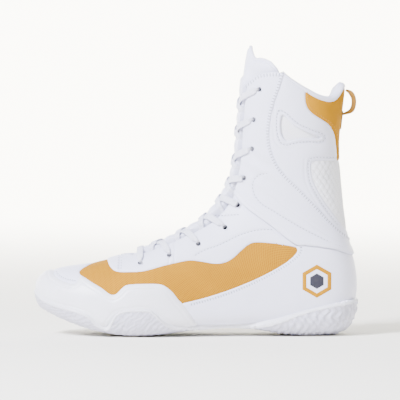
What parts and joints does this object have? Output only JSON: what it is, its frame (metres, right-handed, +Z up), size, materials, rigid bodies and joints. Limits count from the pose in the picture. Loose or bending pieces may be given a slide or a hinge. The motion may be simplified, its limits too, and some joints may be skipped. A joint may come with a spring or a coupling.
{
  "type": "boxing boot",
  "caption": "High lace-up boxing boot for the left foot: low rubber cupsole, leather and mesh panels, padded tongue, laced eyestays and a heel pull loop.",
  "frame": {"origin": "on the floor, under the middle of the boot's bounding box", "axes": "+Z up, +X towards the heel, -X towards the toe, -Y the outer (lateral) side, +Y the inner (medial) side"},
  "size_m": [0.2957, 0.0994, 0.2607],
  "materials": {
    "white_leather": "smooth, softly glossy, fine grain",
    "yellow_mesh": "open knitted mesh over a white ground",
    "yellow_leather": "smooth, satin",
    "white_mesh": "ribbed quilted mesh",
    "guard_rubber": "smooth moulded, satin",
    "outsole_rubber": "moulded, finely textured",
    "lining_knit": "soft knitted lining",
    "lace_cotton": "flat woven",
    "aglet_plastic": "clear-white moulded sleeve",
    "foam": "open-cell foam",
    "board": "fibre board",
    "shank_plastic": "moulded nylon"
  },
  "bodies": {
    "boot": {"toe_guard": "guard_rubber", "vamp_front": "white_leather", "vamp_mesh": "yellow_mesh", "throat_piece": "white_leather", "lower_eyestay_lateral": "white_leather", "lower_eyestay_medial": "white_leather", "ankle_wrap_lateral": "white_leather", "ankle_wrap_medial": "white_leather", "heel_quarter_lateral": "white_leather", "heel_quarter_medial": "white_leather", "rear_shaft_lateral": "white_leather", "rear_shaft_medial": "white_leather", "window_mesh_lateral": "white_mesh", "window_mesh_medial": "white_mesh", "back_mesh": "white_mesh", "collar_tab": "yellow_leather", "seam_piping_lateral": "white_leather", "seam_piping_medial": "white_leather", "heel_counter": "board", "toe_puff": "board", "lining_lateral": "lining_knit", "lining_medial": "lining_knit", "collar_foam": "foam", "collar_lining": "lining_knit", "outsole": "outsole_rubber", "heel_wedge": "foam", "lasting_board": "board", "midsole_foam": "foam", "shank": "shank_plastic", "footbed": "lining_knit", "lace": "lace_cotton", "aglet_lateral": "aglet_plastic", "aglet_medial": "aglet_plastic", "pull_strip": "yellow_leather", "heel_emblem": "yellow_leather"},
    "tongue": {"tongue_face": "white_leather", "tongue_foam": "foam", "tongue_lining": "lining_knit"},
    "loop": {"pull_loop": "yellow_leather"}
  },
  "joints": [
    {"name": "tongue_pivot", "type": "hinge", "parent": "boot", "child": "tongue", "pos_m": [-0.0605, 0, 0.067], "axis": [0, 1, 0], "range_deg": [0, 6], "stiffness_Nm_per_rad": 0.5, "springref_deg": -17.19},
    {"name": "loop_swing", "type": "hinge", "parent": "boot", "child": "loop", "pos_m": [0.1365, 0.0021, 0.2225], "axis": [0.128, 0, 0.9918], "range_deg": [-50, 50], "stiffness_Nm_per_rad": 0.005}
  ]
}
